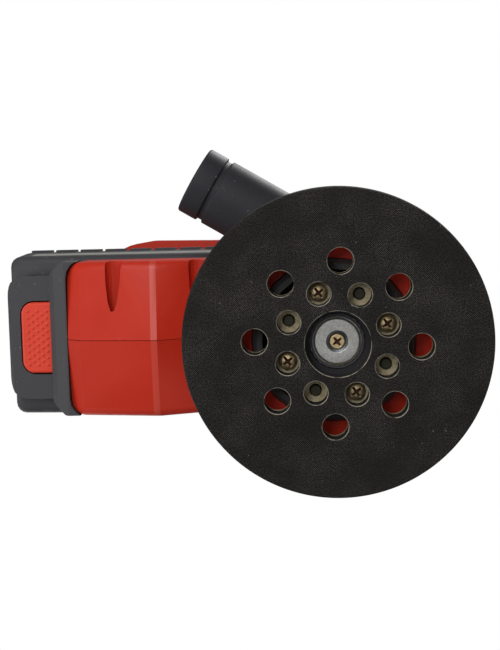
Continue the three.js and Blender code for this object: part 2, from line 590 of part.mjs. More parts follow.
function railCase() {
  const shell = solid(loft([batteryLevel(0, 2.2), batteryLevel(0.8, 0.8), batteryLevel(2.4), batteryLevel(CASE_SPLIT)]));
  const inner = loft([innerLevel(5.4), innerLevel(CASE_SPLIT + 1)]);
  const grooves = [-1, 1].map((side) => {
    const outer = side * (TOWER.halfWidth + 1);
    const tip = side * (TOWER.halfWidth - RAIL.reach);
    return box(12, 90, Math.min(outer, tip), Math.max(outer, tip), RAIL.bottom - 0.4, RAIL.top + 0.4);
  });
  const slots = [-11.5, 11.5].map((y) => box(79, 90, y - 1.1, y + 1.1, -7.6, -2.4));
  const well = prismZ(latchWell(0.6), -20, LATCH.well);
  return cut(shell.add(towerSolid()), inner, ...grooves, ...slots, well, ...labelPockets());
}

// Shallow pockets in both sides for the blank label plates.
function labelPlate(side, grow, depth) {
  const angle = Math.atan2(BATTERY_HALF.ledge - BATTERY_HALF.bottom, LEDGE.height);
  return box(8 - grow, 95 + grow, -depth, depth, 6 - grow, 14.5 + grow)
    .applyMatrix4(new THREE.Matrix4().makeRotationX(-side * angle))
    .translate(0, side * (BATTERY_HALF.bottom + 0.05), 0);
}
const labelPockets = () => [-1, 1].map((side) => labelPlate(side, 0.4, 0.7));

function upperCase() {
  const { height } = BATTERY;
  const shell = solid(loft([batteryLevel(CASE_SPLIT + GAP), batteryLevel(25), batteryLevel(26.4, 0.8),
    batteryLevel(height - 2, 0.8), batteryLevel(height, 2.6)]));
  const inner = loft([innerLevel(CASE_SPLIT - 1), innerLevel(25), innerLevel(26.4, BATTERY_WALL + 0.8),
    innerLevel(height - 3, 2.6)]);
  const ribs = [];
  for (let x = 3.6; x < 94; x += 11.45) {
    for (const side of [-1, 1]) {
      const reach = [side * 35, side * LEDGE.ribReach].sort((a, b) => a - b);
      ribs.push(box(x, x + 9.3, ...reach, 20.6, 24.8));
    }
  }
  return cut(shell.add(joined(...ribs)), inner);
}

function latchButton() {
  const { rear, front, halfWidth, proud, top } = LATCH;
  const bottom = -TOWER.depth - proud;
  const pad = (inset) => outline([[rear + inset, -halfWidth + inset, 5.4], [front, -halfWidth + inset],
    [front, halfWidth - inset], [rear + inset, halfWidth - inset, 5.4]]);
  return stack(pad, [[bottom, 1], [bottom + 1, 0], [top, 0]]);
}

function coilSpring(radius, wire, bottom, top, turns) {
  class Helix extends THREE.Curve {
    getPoint(t, target = new THREE.Vector3()) {
      const angle = 2 * Math.PI * turns * t;
      return target.set(radius * Math.cos(angle), radius * Math.sin(angle), bottom + (top - bottom) * t);
    }
  }
  const section = new THREE.Shape(circle(wire, 5));
  return new THREE.ExtrudeGeometry(section, { steps: turns * 8, bevelEnabled: false, extrudePath: new Helix() });
}

function buildBattery(tool) {
  const battery = new THREE.Group();
  battery.applyMatrix4(batteryFrame);
  piece(battery, 'battery_rail_case', railCase(), DARK_PLASTIC);
  piece(battery, 'battery_upper_case', upperCase(), DARK_PLASTIC);
  piece(battery, 'battery_latch_button', latchButton(), BRIGHT_RED);
  const springX = (LATCH.rear + LATCH.front) / 2;
  const spring = coilSpring(3, 0.45, LATCH.top + 0.8, LATCH.well - 0.8, 4).translate(springX, 0, 0);
  piece(battery, 'latch_spring', spring, STEEL);
  for (const [name, side] of [['right_label_plate', -1], ['left_label_plate', 1]]) {
    const shell = solid(loft([batteryLevel(0), batteryLevel(LEDGE.height)]));
    piece(battery, name, shell.intersect(solid(labelPlate(side, 0, 0.4))), LABEL);
  }
  piece(battery, 'battery_board', box(14, 90, -26, 26, 42.8, 44.4), GREEN_BOARD);
  for (let k = 0; k < 10; k += 1) {
    const column = k % 5;
    const x = BATTERY.length / 2 + (column - 2) * CELL.pitch;
    const z = k < 5 ? CELL.low : CELL.high;
    const cell = rodY(CELL.radius, -CELL.halfLength, CELL.halfLength, x, z, 16);
    piece(battery, `battery_cell_${k + 1}`, cell, CELL_WRAP);
  }
  tool.add(battery);
}

// ---------------------------------------------------------------- the whole sander
const tool = new THREE.Group();
buildPad(tool);
buildMotor(tool);
buildHousing(tool);
buildFittings(tool);
buildBattery(tool);

// The origin is the middle of the tool's bounding box, on the plane of the sanding face.
const bounds = new THREE.Box3().setFromObject(tool, true);
const middle = bounds.getCenter(new THREE.Vector3());
tool.position.set(-middle.x, -middle.y, -bounds.min.z);

const group = new THREE.Group();
group.add(tool);

export default group;
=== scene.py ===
"""A cordless random-orbit palm sander on its pad, in metres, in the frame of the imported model."""
import json
import math

import bmesh
import bpy
import numpy as np
from mathutils import Matrix, Vector
from mathutils.geometry import tessellate_polygon


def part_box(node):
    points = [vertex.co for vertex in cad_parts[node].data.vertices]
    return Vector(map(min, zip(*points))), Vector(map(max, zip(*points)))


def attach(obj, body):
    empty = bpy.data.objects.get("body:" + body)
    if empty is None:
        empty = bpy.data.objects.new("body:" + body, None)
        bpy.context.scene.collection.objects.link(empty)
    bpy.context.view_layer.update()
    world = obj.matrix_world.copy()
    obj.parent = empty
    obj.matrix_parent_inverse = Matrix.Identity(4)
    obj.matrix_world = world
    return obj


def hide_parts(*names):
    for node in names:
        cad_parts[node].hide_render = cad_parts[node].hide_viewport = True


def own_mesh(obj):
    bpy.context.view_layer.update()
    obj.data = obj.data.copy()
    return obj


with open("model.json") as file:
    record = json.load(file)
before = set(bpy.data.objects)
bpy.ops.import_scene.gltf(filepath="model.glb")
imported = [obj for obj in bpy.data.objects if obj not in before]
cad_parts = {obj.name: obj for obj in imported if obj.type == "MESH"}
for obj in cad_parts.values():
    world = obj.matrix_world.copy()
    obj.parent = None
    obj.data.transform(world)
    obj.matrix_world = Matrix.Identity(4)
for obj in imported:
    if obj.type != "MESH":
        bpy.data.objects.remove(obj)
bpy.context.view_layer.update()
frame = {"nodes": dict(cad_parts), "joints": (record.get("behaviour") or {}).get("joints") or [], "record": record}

MM = 0.001

# ---------------------------------------------------------------- camera, light and floor
# The view is from under the pad, half a metre away, with the pad's face towards the lens
# and the battery to the left. A pale floor carries the pad. It is one-sided, so that it
# hides nothing from below, and soft lights stand over and under the tool.
face_low, face_high = (Vector(corner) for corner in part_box("pad_hook_facing"))
pad_centre = Vector(((face_low.x + face_high.x) / 2, (face_low.y + face_high.y) / 2, face_low.z))


def aim(thing, place, target, up, roll_degrees=0.0):
    """Puts a camera or lamp at a place, looking at a target, with its top towards up."""
    forward = (target - place).normalized()
    right = forward.cross(up).normalized()
    frame_axes = Matrix((right, right.cross(forward), -forward)).transposed().to_4x4()
    thing.matrix_world = (
        Matrix.Translation(place) @ frame_axes @ Matrix.Rotation(math.radians(roll_degrees), 4, "Z")
    )


def stage_material(name, colour):
    """A pale matt surface that shows only its upper side."""
    material = bpy.data.materials.new(name)
    material.use_nodes = True
    nodes, links = material.node_tree.nodes, material.node_tree.links
    shader = nodes["Principled BSDF"]
    shader.inputs["Base Color"].default_value = (*colour, 1)
    shader.inputs["Roughness"].default_value = 0.8
    clear = nodes.new("ShaderNodeBsdfTransparent")
    side = nodes.new("ShaderNodeNewGeometry")
    mix = nodes.new("ShaderNodeMixShader")
    links.new(side.outputs["Backfacing"], mix.inputs["Fac"])
    links.new(shader.outputs["BSDF"], mix.inputs[1])
    links.new(clear.outputs["BSDF"], mix.inputs[2])
    links.new(mix.outputs["Shader"], nodes["Material Output"].inputs["Surface"])
    return material


camera_data = bpy.data.cameras.new("camera")
camera_data.lens = 74
camera_data.clip_start = 0.01
camera = bpy.data.objects.new("camera", camera_data)
bpy.context.collection.objects.link(camera)
aim(camera, pad_centre + Vector((-14.5, -56.5, -517)) * MM, pad_centre + Vector((-34.0, -8.4, 0)) * MM,
    Vector((0, -1, 0)), -1.6)
bpy.context.scene.camera = camera

SOFTBOXES = {
    "key_under": ((-160, -420, -380), 0.42, 2.1),
    "front_under": ((-170, -170, -600), 0.2, 0.85),
    "fill_under": ((260, 330, -520), 0.6, 0.6),
    "side_under": ((-560, 60, -200), 0.45, 1.4),
    "rim_over": ((-420, 420, 480), 0.6, 2.0),
}
for name, (place, size, power) in SOFTBOXES.items():
    lamp = bpy.data.lights.new(name, "AREA")
    lamp.shape = "DISK"
    lamp.size = size
    lamp.energy = power
    light = bpy.data.objects.new(name, lamp)
    bpy.context.collection.objects.link(light)
    aim(light, pad_centre + Vector(place) * MM, pad_centre + Vector((-20, 0, 50)) * MM, Vector((0, 0.3, 1)))

sunlight = bpy.data.lights.new("sun_over", "SUN")
sunlight.energy = 2.8
sunlight.angle = math.radians(30)
sun = bpy.data.objects.new("sun_over", sunlight)
bpy.context.collection.objects.link(sun)
aim(sun, pad_centre + Vector((350, -450, 700)) * MM, pad_centre, Vector((0, 0.3, 1)))

world = bpy.data.worlds.new("studio")
world.use_nodes = True
backdrop = world.node_tree.nodes["Background"]
ray_kind = world.node_tree.nodes.new("ShaderNodeLightPath")
strength = world.node_tree.nodes.new("ShaderNodeMapRange")
strength.inputs["To Min"].default_value = 0.21
strength.inputs["To Max"].default_value = 1.0
world.node_tree.links.new(ray_kind.outputs["Is Camera Ray"], strength.inputs["Value"])
world.node_tree.links.new(strength.outputs["Result"], backdrop.inputs["Strength"])
backdrop.inputs["Color"].default_value = (1.0, 1.0, 1.0, 1)
bpy.context.scene.world = world
bpy.context.scene.view_settings.view_transform = "Standard"

reach = 1.6
floor_mesh = bpy.data.meshes.new("floor")
floor_mesh.from_pydata([(-reach, -reach, 0), (reach, -reach, 0), (reach, reach, 0), (-reach, reach, 0)],
                       [], [(0, 1, 2, 3)])
floor_mesh.materials.append(stage_material("pale_floor", (0.86, 0.86, 0.85)))
floor = bpy.data.objects.new("floor", floor_mesh)
bpy.context.collection.objects.link(floor)
floor.location.z = -0.0002
for ray in ("diffuse", "glossy", "transmission", "shadow", "volume_scatter"):
    setattr(floor, f"visible_{ray}", False)

# ---------------------------------------------------------------- clamshell housing
# Two red glass-filled nylon halves, screwed together along the tool's middle plane.
# They carry the motor, the fan chamber, the foot under the battery and the head over it.
RED = (0.465, 0.025, 0.0105)


def value_group(name, inputs, outputs):
    """A new shader node group with named number or colour inputs and outputs."""
    group = bpy.data.node_groups.new(name, "ShaderNodeTree")
    for label, kind, start in inputs:
        socket = group.interface.new_socket(label, in_out="INPUT", socket_type=f"NodeSocket{kind}")
        socket.default_value = start
    for label, kind in outputs:
        group.interface.new_socket(label, in_out="OUTPUT", socket_type=f"NodeSocket{kind}")
    return group, group.nodes.new("NodeGroupInput"), group.nodes.new("NodeGroupOutput")


def noise(nodes, links, place, scale, detail=3.0, roughness=0.55):
    """Noise at a scale in cells for each metre, read at the given place."""
    node = nodes.new("ShaderNodeTexNoise")
    node.inputs["Detail"].default_value = detail
    node.inputs["Roughness"].default_value = roughness
    if isinstance(scale, (int, float)):
        node.inputs["Scale"].default_value = scale
    else:
        links.new(scale, node.inputs["Scale"])
    links.new(place, node.inputs["Vector"])
    return node.outputs["Fac"]


def remap(nodes, links, value, low, high, out_low=0.0, out_high=1.0):
    """Stretches a value from one range on to another and clamps it."""
    node = nodes.new("ShaderNodeMapRange")
    for socket, number in zip(("From Min", "From Max", "To Min", "To Max"), (low, high, out_low, out_high)):
        if isinstance(number, (int, float)):
            node.inputs[socket].default_value = number
        else:
            links.new(number, node.inputs[socket])
    links.new(value, node.inputs["Value"])
    return node.outputs["Result"]


def blend_colour(nodes, links, factor, first, second, mode="MIX"):
    """Mixes two colours, either of which may be a fixed colour or a socket."""
    node = nodes.new("ShaderNodeMix")
    node.data_type = "RGBA"
    node.blend_type = mode
    sockets = [node.inputs[0], node.inputs[6], node.inputs[7]]
    for socket, source in zip(sockets, (factor, first, second)):
        if isinstance(source, bpy.types.NodeSocket):
            links.new(source, socket)
        elif isinstance(source, tuple):
            socket.default_value = (*source, 1)
        else:
            socket.default_value = source
    return node.outputs[2]


def arithmetic(nodes, links, operation, first, second=0.0):
    """One Math node on numbers or sockets."""
    node = nodes.new("ShaderNodeMath")
    node.operation = operation
    for socket, source in zip(node.inputs, (first, second)):
        if isinstance(source, bpy.types.NodeSocket):
            links.new(source, socket)
        else:
            socket.default_value = source
    return node.outputs[0]


def moulded_grain_group():
    """Moulded plastic: a fine spark-eroded grain, faint blotches and a few pale dust specks."""
    group, given, result = value_group(
        "moulded_grain",
        [("Colour", "Color", (0.5, 0.5, 0.5, 1)), ("Grain Size", "Float", 2600.0), ("Grain Depth", "Float", 1.0),
         ("Roughness", "Float", 0.5), ("Dust", "Float", 0.1)],
        [("Colour", "Color"), ("Roughness", "Float"), ("Height", "Float")])
    nodes, links = group.nodes, group.links
    place = nodes.new("ShaderNodeTexCoord").outputs["Object"]
    grain = noise(nodes, links, place, given.outputs["Grain Size"], 2.0)
    blotch = noise(nodes, links, place, 38.0, 4.0)
    speck = noise(nodes, links, place, 900.0, 1.0)
    mask = arithmetic(nodes, links, "MULTIPLY", remap(nodes, links, speck, 0.735, 0.76), given.outputs["Dust"])
    dark = blend_colour(nodes, links, 1.0, given.outputs["Colour"], (0.80, 0.80, 0.80), "MULTIPLY")
    patches = remap(nodes, links, blotch, 0.3, 0.7, 0.35, 0.0)
    toned = blend_colour(nodes, links, patches, given.outputs["Colour"], dark)
    links.new(blend_colour(nodes, links, mask, toned, (0.55, 0.53, 0.50)), result.inputs["Colour"])
    rough = remap(nodes, links, blotch, 0.3, 0.7, -0.05, 0.06)
    links.new(arithmetic(nodes, links, "ADD", given.outputs["Roughness"], rough), result.inputs["Roughness"])
    links.new(arithmetic(nodes, links, "MULTIPLY", grain, given.outputs["Grain Depth"]), result.inputs["Height"])
    return group


MOULDED_GRAIN = moulded_grain_group()


def finish_with(name, group, values, bump, metallic=0.0, specular=0.5):
    """A material whose colour, roughness and relief come from a group set to its own values."""
    material = bpy.data.materials.new(name)
    material.use_nodes = True
    nodes, links = material.node_tree.nodes, material.node_tree.links
    shader = nodes["Principled BSDF"]
    shader.inputs["Metallic"].default_value = metallic
    shader.inputs["Specular IOR Level"].default_value = specular
    surface = nodes.new("ShaderNodeGroup")
    surface.node_tree = group
    for label, value in values.items():
        surface.inputs[label].default_value = (*value, 1) if isinstance(value, tuple) else value
    relief = nodes.new("ShaderNodeBump")
    relief.inputs["Distance"].default_value = bump * MM
    links.new(surface.outputs["Colour"], shader.inputs["Base Color"])
    links.new(surface.outputs["Roughness"], shader.inputs["Roughness"])
    links.new(surface.outputs["Height"], relief.inputs["Height"])
    links.new(relief.outputs["Normal"], shader.inputs["Normal"])
    return material


def plastic(name, colour, roughness, grain=2600.0, depth=1.0, dust=0.1, bump=0.05, specular=0.2):
    """A moulded plastic of one colour, with its own grain and gloss."""
    values = {"Colour": colour, "Grain Size": grain, "Grain Depth": depth, "Roughness": roughness, "Dust": dust}
    return finish_with(name, MOULDED_GRAIN, values, bump, specular=specular)


def eased_copy(node, material, width=0.5, angle=32.0, segments=2, shade=None):
    """The node's own surface with merged points, flat faces joined and every edge eased.
    Long edges across the tool stay crisp, so that broad facets keep their own shade."""
    piece = bpy.data.objects.new(f"{node}_shell", frame["nodes"][node].data.copy())
    piece.data.name = f"{node}_shell"
    bpy.context.collection.objects.link(piece)
    mesh = bmesh.new()
    mesh.from_mesh(piece.data)
    bmesh.ops.remove_doubles(mesh, verts=mesh.verts, dist=2e-6)
    bmesh.ops.dissolve_limit(mesh, angle_limit=math.radians(0.6), verts=mesh.verts, edges=mesh.edges)
    crease = math.radians(shade or angle)
    for face in mesh.faces:
        face.smooth = True
    for edge in mesh.edges:
        span = edge.verts[1].co - edge.verts[0].co
        across = span.length > 15 * MM and abs(span.y) > 0.9 * span.length
        edge.smooth = edge.is_manifold and edge.calc_face_angle(0) < (math.radians(6) if across else crease)
    mesh.to_mesh(piece.data)
    mesh.free()
    piece.data.materials.clear()
    piece.data.materials.append(material)
    if width:
        ease = piece.modifiers.new("eased_edges", "BEVEL")
        ease.width = width * MM
        ease.segments = segments
        ease.limit_method = "ANGLE"
        ease.angle_limit = math.radians(angle)
        ease.harden_normals = True
    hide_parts(node)
    return piece


red_plastic = plastic("red_nylon", RED, 0.36, grain=2200.0, depth=0.8, dust=0.05, bump=0.04, specular=0.2)
# A paler, greyer red for the narrow bevel across the foot's underside: a painted highlight, where that bevel would
# catch the lamps.
painted_highlight_red = plastic("painted_highlight_red", (0.50, 0.050, 0.030), 0.36, grain=2200.0, depth=0.5, dust=0.03, bump=0.03,
                     specular=0.3)
PAINTED_HIGHLIGHT_BEVEL = (-76.7 * MM, -73.8 * MM)
for node in ("right_housing", "left_housing"):
    half_shell = eased_copy(node, red_plastic, 0.35)
    half_shell.data.materials.append(painted_highlight_red)
    for face in half_shell.data.polygons:
        behind_pad = face.center.x - pad_centre.x
        # Faces low on the foot and inside the bevel's band take the painted highlight.
        if face.center.z < 40 * MM and PAINTED_HIGHLIGHT_BEVEL[0] < behind_pad < PAINTED_HIGHLIGHT_BEVEL[1]:
            face.material_index = 1
    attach(half_shell, "housing")
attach(eased_copy("fan_shroud_ring", red_plastic, 0.2), "housing")

# ---------------------------------------------------------------- dust outlet
# A black moulded tube that leaves the fan chamber along a tangent. A hose cuff or dust bag
# pushes over its mouth up to the groove. It is turned on one axis, then cut to the housing.
outlet_low, outlet_high = (Vector(corner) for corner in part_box("dust_port"))
outlet_mouth = next(m for m in frame["record"]["mounts"] if m["name"] == "dust_outlet_mouth")
outlet_inwards = -Vector(outlet_mouth["axis"])
OUTLET_RADIUS = (outlet_high.z - outlet_low.z) / 2
OUTLET_BORE = 11.6 * MM


def grid_object(name, grids, material, closed=(True, False), caps=()):
    """Quads over grids of points, each closed or open in its two directions.
    A cap closes a grid's first or last row with one flat face."""
    points, faces, start = [], [], 0
    for grid in grids:
        rows, columns = grid.shape[:2]
        index = start + np.arange(rows * columns).reshape(rows, columns)
        if closed[0]:
            index = np.concatenate([index, index[:, :1]], axis=1)
        if closed[1]:
            index = np.concatenate([index, index[:1]], axis=0)
        quads = np.stack([index[:-1, :-1], index[:-1, 1:], index[1:, 1:], index[1:, :-1]], axis=-1)
        faces += quads.reshape(-1, 4).tolist()
        if "first" in caps:
            faces.append(list(range(start + columns - 1, start - 1, -1)))
        if "last" in caps:
            faces.append(list(range(start + (rows - 1) * columns, start + rows * columns)))
        points.append(grid.reshape(-1, 3))
        start += rows * columns
    data = bpy.data.meshes.new(name)
    data.from_pydata(np.concatenate(points).tolist(), [], faces)
    data.polygons.foreach_set("use_smooth", np.ones(len(data.polygons), dtype=bool))
    data.materials.append(material)
    piece = bpy.data.objects.new(name, data)
    bpy.context.collection.objects.link(piece)
    return piece


def sharpen(piece, angle=35.0):
    """Keeps the edges that turn more than the angle crisp, and points every face outwards."""
    mesh = bmesh.new()
    mesh.from_mesh(piece.data)
    bmesh.ops.remove_doubles(mesh, verts=mesh.verts, dist=1e-7)
    bmesh.ops.recalc_face_normals(mesh, faces=mesh.faces)
    for edge in mesh.edges:
        edge.smooth = edge.is_manifold and edge.calc_face_angle(0) < math.radians(angle)
    mesh.to_mesh(piece.data)
    mesh.free()
    return piece


def rounded(corners, radius, steps=4):
    """A profile of corners with each inner corner replaced by a small circular arc."""
    corners = np.asarray(corners, float)
    points = [corners[0]]
    for before, corner, after in zip(corners[:-2], corners[1:-1], corners[2:]):
        back, ahead = before - corner, after - corner
        reach = min(radius, 0.45 * np.linalg.norm(back), 0.45 * np.linalg.norm(ahead))
        start = corner + back / np.linalg.norm(back) * reach
        end = corner + ahead / np.linalg.norm(ahead) * reach
        t = np.linspace(0, 1, steps)[:, None]
        points.extend((1 - t) ** 2 * start + 2 * t * (1 - t) * corner + t ** 2 * end)
    points.append(corners[-1])
    return np.array(points)


def turned(profile, origin, axis, sides=96, up=Vector((0, 0, 1))):
    """A grid of points: the profile's (radius, distance) pairs carried round an axis.
    Point = origin + distance * axis + radius * (cos a * across + sin a * upright)."""
    axis = np.array(axis.normalized())
    across = np.cross(np.array(up), axis) if abs(np.dot(up, axis)) < 0.9 else np.array((1.0, 0, 0))
    across /= np.linalg.norm(across)
    upright = np.cross(axis, across)
    angle = np.linspace(0, 2 * np.pi, sides, endpoint=False)
    ring = np.cos(angle)[:, None] * across + np.sin(angle)[:, None] * upright
    profile = np.asarray(profile)
    return (np.array(origin) + profile[:, 1, None, None] * axis
            + profile[:, 0, None, None] * ring[None, :, :])


black_plastic = plastic("black_nylon", (0.026, 0.026, 0.030), 0.5, grain=1900.0, depth=0.7, dust=0.10, bump=0.03,
                        specular=0.1)
outlet_centre = Vector(outlet_mouth["pos_m"])
outlet_centre.z = (outlet_low.z + outlet_high.z) / 2
r, b = OUTLET_RADIUS, OUTLET_BORE
outlet_profile = rounded(
    [(b, 74 * MM), (b, 1.0 * MM), (b + 0.7 * MM, 0), (r - 0.5 * MM, 0), (r, 0.6 * MM), (r, 8.3 * MM),
     (r - 1.1 * MM, 8.7 * MM), (r - 1.1 * MM, 10.5 * MM), (r - 0.1 * MM, 10.9 * MM), (r - 0.1 * MM, 74 * MM)],
    0.35 * MM)
tube_grid = turned(outlet_profile, outlet_centre, outlet_inwards, 96)
dust_outlet = grid_object("dust_outlet_tube", [np.concatenate([tube_grid, tube_grid[:1]])], black_plastic)
sharpen(dust_outlet, 40)
motor_axis = next(Vector(j["pos_m"]) for j in frame["joints"] if j["name"] == "shaft_spin")
SKIRT_RADIUS, SKIRT_SHOULDER, SKIRT_TOP = 44.4 * MM, 40.2 * MM, 48.8 * MM
cutter_profile = [(0.0, -5 * MM), (SKIRT_RADIUS, -5 * MM), (SKIRT_RADIUS, SKIRT_SHOULDER),
                  (41.4 * MM, 45.9 * MM), (33 * MM, SKIRT_TOP), (0.0, SKIRT_TOP)]
motor_foot = (motor_axis.x, motor_axis.y, 0)
skirt_grid = turned(cutter_profile, motor_foot, Vector((0, 0, 1)), 128)
cutter = grid_object("skirt_shape", [skirt_grid], black_plastic)
sharpen(cutter)
trim = dust_outlet.modifiers.new("cut_to_skirt", "BOOLEAN")
trim.operation = "DIFFERENCE"
trim.solver = "EXACT"
trim.object = cutter
bpy.context.view_layer.update()
cut_mesh = bpy.data.meshes.new_from_object(dust_outlet.evaluated_get(bpy.context.evaluated_depsgraph_get()))
dust_outlet.modifiers.clear()
dust_outlet.data = cut_mesh
bpy.data.objects.remove(cutter)
sharpen(dust_outlet, 40)
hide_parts("dust_port")
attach(dust_outlet, "housing")

# ---------------------------------------------------------------- rubber: bumper, grip and brake ring
# Soft black rubber, moulded with a fine matt grain: the bumper round the end of the foot,
# the grip over the head, and the brake ring that keeps the pad from racing.
rubber = plastic("moulded_rubber", (0.054, 0.053, 0.056), 0.62, grain=3200.0, depth=1.0, dust=0.12, bump=0.05)
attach(eased_copy("rear_bumper", rubber, 0.8, segments=3), "housing")
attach(eased_copy("pad_brake_ring", rubber, 0.3), "housing")

grip_low, grip_high = (Vector(corner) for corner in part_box("palm_grip"))


def palm_outline(inset, count=64):
    """The grip in plan: a half circle at the front, straight sides and a rear edge with
    rounded corners, each drawn in by the inset. Points run once round, evenly by part."""
    half = (grip_high.y - grip_low.y) / 2 - inset
    front = grip_high.x - half - inset
    rear = grip_low.x + inset
    corner = min(10 * MM, half * 0.8)
    turn = np.linspace(-np.pi / 2, np.pi / 2, count // 2)
    quarter = np.linspace(0, np.pi / 2, count // 4)
    middle = (grip_low.y + grip_high.y) / 2
    x = np.concatenate([front + half * np.cos(turn), rear + corner - corner * np.sin(quarter),
                        rear + corner - corner * np.cos(quarter)])
    y = np.concatenate([half * np.sin(turn), half - corner + corner * np.cos(quarter),
                        -half + corner - corner * np.sin(quarter)])
    return x, y + middle


def palm_grip_grid():
    """Rings of the plan outline: straight up from the seam, over a soft shoulder and across
    a shallow dome. The inset grows as the height follows a quarter ellipse."""
    height = grip_high.z - grip_low.z
    half = (grip_high.y - grip_low.y) / 2
    rings = [(0.5 * MM, 0.0), (0.0, 1.2 * MM), (0.0, 2.0 * MM)]
    for t in np.linspace(0.06, 0.985, 22):
        lift = 2.0 * MM + (height - 2.0 * MM) * math.sin(t * math.pi / 2)
        rings.append((half * (1 - math.cos(t * math.pi / 2)) ** 1.5, lift))
    grid = []
    for inset, rise in rings:
        x, y = palm_outline(min(inset, half * 0.97))
        grid.append(np.stack([x, y, np.full_like(x, grip_low.z + rise)], axis=1))
    return np.array(grid)


palm_grip = grid_object("palm_grip_cover", [palm_grip_grid()], rubber, caps=("first", "last"))
sharpen(palm_grip, 60)
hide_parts("palm_grip")
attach(palm_grip, "housing")

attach(eased_copy("power_button", black_plastic, 0.5), "button")
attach(eased_copy("speed_dial", black_plastic, 0.12), "dial")

# ---------------------------------------------------------------- metal: motor, shaft, bearings, screws
# Turned and ground steel, copper windings, brass contacts and yellow-passivated screws.


def worked_metal_group():
    """Machined metal: mottled tone, faint tool marks and a little grime."""
    group, given, result = value_group(
        "worked_metal",
        [("Colour", "Color", (0.5, 0.5, 0.5, 1)), ("Grime Colour", "Color", (0.05, 0.045, 0.04, 1)),
         ("Grime", "Float", 0.3), ("Mottle Size", "Float", 900.0), ("Roughness", "Float", 0.35)],
        [("Colour", "Color"), ("Roughness", "Float"), ("Height", "Float")])
    nodes, links = group.nodes, group.links
    place = nodes.new("ShaderNodeTexCoord").outputs["Object"]
    mottle = noise(nodes, links, place, given.outputs["Mottle Size"], 4.0, 0.65)
    patch = noise(nodes, links, place, 240.0, 3.0)
    tone = blend_colour(nodes, links, 1.0, given.outputs["Colour"], (0.66, 0.66, 0.66), "MULTIPLY")
    base = blend_colour(nodes, links, remap(nodes, links, mottle, 0.35, 0.65), tone, given.outputs["Colour"])
    dirt = arithmetic(nodes, links, "MULTIPLY", remap(nodes, links, patch, 0.48, 0.68), given.outputs["Grime"])
    links.new(blend_colour(nodes, links, dirt, base, given.outputs["Grime Colour"]), result.inputs["Colour"])
    rough = remap(nodes, links, mottle, 0.3, 0.7, -0.06, 0.10)
    links.new(arithmetic(nodes, links, "ADD", given.outputs["Roughness"], rough), result.inputs["Roughness"])
    links.new(mottle, result.inputs["Height"])
    return group


WORKED_METAL = worked_metal_group()


def metal(name, colour, roughness, grime=0.2, mottle=900.0, bump=0.02):
    """A metal of one colour with its own polish and grime."""
    values = {"Colour": colour, "Grime": grime, "Mottle Size": mottle, "Roughness": roughness}
    return finish_with(name, WORKED_METAL, values, bump, metallic=1.0)


steel = metal("ground_steel", (0.50, 0.50, 0.49), 0.34)
dark_steel = metal("oiled_steel_and_painted_shade", (0.16, 0.165, 0.175), 0.42)
copper = metal("enamelled_copper", (0.60, 0.25, 0.10), 0.34)
brass = metal("brass", (0.62, 0.44, 0.16), 0.32)
board_green = plastic("solder_mask", (0.012, 0.085, 0.035), 0.35, grain=600.0, dust=0.0)
cell_wrap = plastic("cell_wrap", (0.04, 0.15, 0.25), 0.35, grain=300.0, dust=0.0)

INSIDE = {
    steel: ["motor_shaft", "lower_bearing_inner_ring", "lower_bearing_outer_ring", "upper_bearing_inner_ring",
            "upper_bearing_outer_ring", "pad_bearing_inner_ring", "pad_bearing_outer_ring"],
    dark_steel: ["stator_core", "rotor_magnet", "counterweight"] + [f"housing_screw_{k}" for k in range(1, 6)],
    copper: ["upper_winding", "lower_winding"],
    brass: ["terminal_block"],
    board_green: ["controller_board", "battery_board"],
    cell_wrap: [f"battery_cell_{k}" for k in range(1, 11)],
    black_plastic: ["fan_impeller", "switch_module"],
}
for material, names in INSIDE.items():
    for node in names:
        slots = frame["nodes"][node].material_slots
        for holder in slots:
            holder.material = material

# The latch spring is a steel coil between the thumb button and a seat in the case.
# It moves with the battery and has its own copy of the mesh.
latch_coil = eased_copy("latch_spring", steel, 0.03)
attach(latch_coil, "battery")
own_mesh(latch_coil)


# ---------------------------------------------------------------- battery
# A slide-on pack in two dark grey halves, with a rail tower underneath that runs in the
# foot's channel, a sprung red latch in its rear bezel and a blank label on each side.
slide = next(j for j in frame["joints"] if j["name"] == "battery_slide")
pack_forward = -Vector(slide["axis"]).normalized()
pack_up = Vector((-pack_forward.z, 0, pack_forward.x))
case_grey = plastic("battery_case", (0.047, 0.046, 0.050), 0.50, grain=1700.0, depth=1.6, dust=0.16, bump=0.07)
for node, width in (("battery_rail_case", 0.7), ("battery_upper_case", 0.5)):
    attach(eased_copy(node, case_grey, width, segments=3), "battery")


def brushed_label_group():
    """A blank printed foil: satin silver with a soft band of warmer tone along its length."""
    group, given, result = value_group(
        "brushed_label", [("Colour", "Color", (0.5, 0.5, 0.5, 1)), ("Band Colour", "Color", (0.5, 0.5, 0.4, 1)),
                          ("Roughness", "Float", 0.35)],
        [("Colour", "Color"), ("Roughness", "Float"), ("Height", "Float")])
    nodes, links = group.nodes, group.links
    place = nodes.new("ShaderNodeTexCoord").outputs["Object"]
    stretch = nodes.new("ShaderNodeMapping")
    stretch.inputs["Scale"].default_value = (0.05, 1.0, 1.0)
    links.new(place, stretch.inputs["Vector"])
    brushing = noise(nodes, links, stretch.outputs["Vector"], 2400.0, 2.0)
    links.new(blend_colour(nodes, links, remap(nodes, links, brushing, 0.3, 0.7), given.outputs["Band Colour"],
                           given.outputs["Colour"]), result.inputs["Colour"])
    links.new(arithmetic(nodes, links, "ADD", given.outputs["Roughness"],
                         remap(nodes, links, brushing, 0.3, 0.7, -0.05, 0.05)), result.inputs["Roughness"])
    links.new(brushing, result.inputs["Height"])
    return group


label_foil = finish_with("label_foil", brushed_label_group(),
                         {"Colour": (0.34, 0.33, 0.31), "Band Colour": (0.26, 0.25, 0.22), "Roughness": 0.38},
                         0.01, metallic=0.35)
for node in ("right_label_plate", "left_label_plate"):
    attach(eased_copy(node, label_foil, 0.1), "battery")

